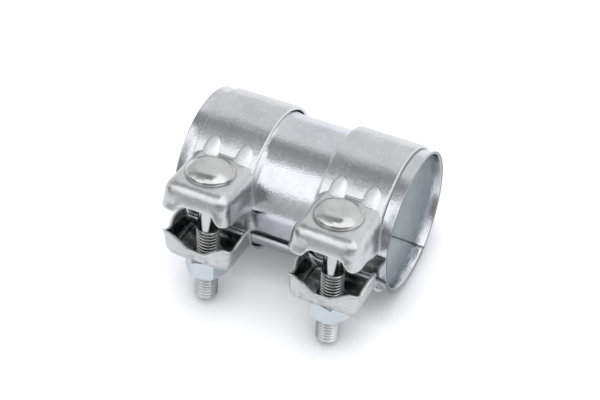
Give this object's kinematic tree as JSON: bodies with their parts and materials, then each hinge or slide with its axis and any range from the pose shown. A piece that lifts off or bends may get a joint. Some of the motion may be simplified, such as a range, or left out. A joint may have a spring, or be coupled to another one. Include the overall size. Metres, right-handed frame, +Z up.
{
  "type": "exhaust clamp",
  "caption": "Rolled sheet sleeve with a bolted band at each end, which joins two exhaust pipe ends and clamps them.",
  "frame": {"origin": "on the pipe axis, midway between the sleeve's two mouths", "axes": "+X along the pipe axis towards the right mouth, +Z up as the part rests, ears and bolts towards -Y"},
  "size_m": [0.095, 0.0824, 0.0662],
  "materials": {
    "sleeve_sheet": "galvanised, satin",
    "band_sheet": "zinc plated, satin",
    "bolt_steel": "zinc plated, semi-bright",
    "nut_steel": "zinc plated, pale blue"
  },
  "bodies": {
    "clamp": {"sleeve": "sleeve_sheet", "left_band": "band_sheet", "right_band": "band_sheet"},
    "left_bolt": {"left_bolt": "bolt_steel"},
    "left_nut": {"left_nut": "nut_steel"},
    "right_bolt": {"right_bolt": "bolt_steel"},
    "right_nut": {"right_nut": "nut_steel"}
  },
  "joints": [
    {"name": "left_nut_spin", "type": "hinge", "parent": "clamp", "child": "left_nut", "pos_m": [-0.028, -0.04159, -0.01316], "axis": [0, -0.2778, -0.9606], "range_deg": [0, 5041]},
    {"name": "left_bolt_rise", "type": "slide", "parent": "clamp", "child": "left_bolt", "axis": [0, 0.2778, 0.9606], "range_m": [0, 0.021]},
    {"name": "right_nut_spin", "type": "hinge", "parent": "clamp", "child": "right_nut", "pos_m": [0.028, -0.04159, -0.01316], "axis": [0, -0.2778, -0.9606], "range_deg": [0, 5041]},
    {"name": "right_bolt_rise", "type": "slide", "parent": "clamp", "child": "right_bolt", "axis": [0, 0.2778, 0.9606], "range_m": [0, 0.021]}
  ],
  "couplings": [
    {"joint": "left_nut_spin", "follows": "left_bolt_rise", "rad_per_m": 4188.8},
    {"joint": "right_nut_spin", "follows": "right_bolt_rise", "rad_per_m": 4188.8}
  ]
}
